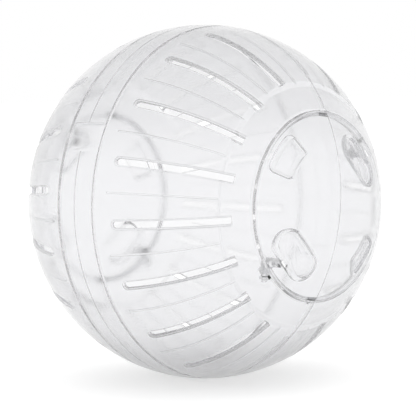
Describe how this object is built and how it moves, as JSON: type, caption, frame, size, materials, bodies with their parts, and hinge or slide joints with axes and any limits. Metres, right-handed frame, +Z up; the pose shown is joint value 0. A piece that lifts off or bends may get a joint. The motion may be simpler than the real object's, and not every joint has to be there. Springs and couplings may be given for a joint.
{
  "type": "hamster exercise ball",
  "caption": "Clear hollow exercise ball for a small pet, with slotted half shells that meet on a seam and are held together by twist-lock lids at the ends of its axis.",
  "frame": {"origin": "centre of the ball", "axes": "+X along the lid axis towards the right lid, +Z up as the ball stands, -Y to the front"},
  "size_m": [0.178, 0.178, 0.178],
  "materials": {
    "clear_shell": "clear polished moulding",
    "clear_lid": "clear polished moulding"
  },
  "bodies": {
    "shell": {"front_half": "clear_shell", "back_half": "clear_shell"},
    "right_lid": {"right_lid": "clear_lid"},
    "left_lid": {"left_lid": "clear_lid"}
  },
  "joints": [
    {"name": "right_lid_twist", "type": "hinge", "parent": "shell", "child": "right_lid", "pos_m": [0.078, 0, 0], "axis": [1, 0, 0], "range_deg": [0, 45]},
    {"name": "left_lid_twist", "type": "hinge", "parent": "shell", "child": "left_lid", "pos_m": [-0.078, 0, 0], "axis": [-1, 0, 0], "range_deg": [0, 45]}
  ]
}
